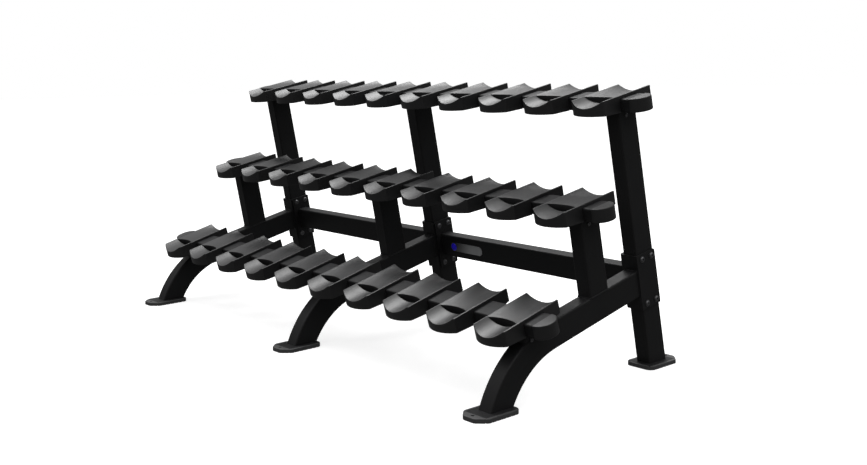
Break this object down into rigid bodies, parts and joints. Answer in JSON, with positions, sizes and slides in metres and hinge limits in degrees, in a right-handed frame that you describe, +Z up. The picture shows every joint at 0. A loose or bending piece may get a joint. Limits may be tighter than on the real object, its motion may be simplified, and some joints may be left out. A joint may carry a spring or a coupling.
{
  "type": "dumbbell rack",
  "caption": "Tiered saddle rack for dumbbells: box-tube frames with curved front legs carry sloping rails of moulded cradles, half-round end caps and rubber feet.",
  "frame": {"origin": "on the floor under the middle of the rack's box", "axes": "+X along the rack, to the right seen from the front; the front faces -Y; +Z up"},
  "size_m": [2.625, 1.076, 1.0885],
  "materials": {
    "frame_black": "satin black powder coat",
    "saddle_moulded": "satin moulded urethane, dark grey",
    "cap_plastic": "satin moulded, dark grey",
    "foot_rubber": "matt moulded rubber",
    "fastener_black": "black oxide",
    "badge_metal": "brushed",
    "badge_blue": "gloss"
  },
  "bodies": {
    "root": {"badge_disc": "badge_blue", "badge_plate": "badge_metal", "cross_beam_left": "frame_black", "cross_beam_right": "frame_black", "end_cap_low_left": "cap_plastic", "end_cap_low_right": "cap_plastic", "end_cap_mid_left": "cap_plastic", "end_cap_mid_right": "cap_plastic", "end_cap_top_left": "cap_plastic", "end_cap_top_right": "cap_plastic", "frame_bolts": "fastener_black", "frame_nuts": "fastener_black", "front_leg_centre": "frame_black", "front_leg_left": "frame_black", "front_leg_right": "frame_black", "mid_post_centre": "frame_black", "mid_post_left": "frame_black", "mid_post_right": "frame_black", "post_bracket_centre": "frame_black", "post_bracket_left": "frame_black", "post_bracket_right": "frame_black", "rail_low": "frame_black", "rail_mid": "frame_black", "rail_mounts": "frame_black", "rail_top": "frame_black", "rear_post_centre": "frame_black", "rear_post_left": "frame_black", "rear_post_right": "frame_black", "rubber_feet": "foot_rubber", "saddle_low_01": "saddle_moulded", "saddle_low_02": "saddle_moulded", "saddle_low_03": "saddle_moulded", "saddle_low_04": "saddle_moulded", "saddle_low_05": "saddle_moulded", "saddle_low_06": "saddle_moulded", "saddle_low_07": "saddle_moulded", "saddle_low_08": "saddle_moulded", "saddle_low_09": "saddle_moulded", "saddle_low_10": "saddle_moulded", "saddle_mid_01": "saddle_moulded", "saddle_mid_02": "saddle_moulded", "saddle_mid_03": "saddle_moulded", "saddle_mid_04": "saddle_moulded", "saddle_mid_05": "saddle_moulded", "saddle_mid_06": "saddle_moulded", "saddle_mid_07": "saddle_moulded", "saddle_mid_08": "saddle_moulded", "saddle_mid_09": "saddle_moulded", "saddle_mid_10": "saddle_moulded", "saddle_screws": "fastener_black", "saddle_top_01": "saddle_moulded", "saddle_top_02": "saddle_moulded", "saddle_top_03": "saddle_moulded", "saddle_top_04": "saddle_moulded", "saddle_top_05": "saddle_moulded", "saddle_top_06": "saddle_moulded", "saddle_top_07": "saddle_moulded", "saddle_top_08": "saddle_moulded", "saddle_top_09": "saddle_moulded", "saddle_top_10": "saddle_moulded"}
  },
  "joints": []
}
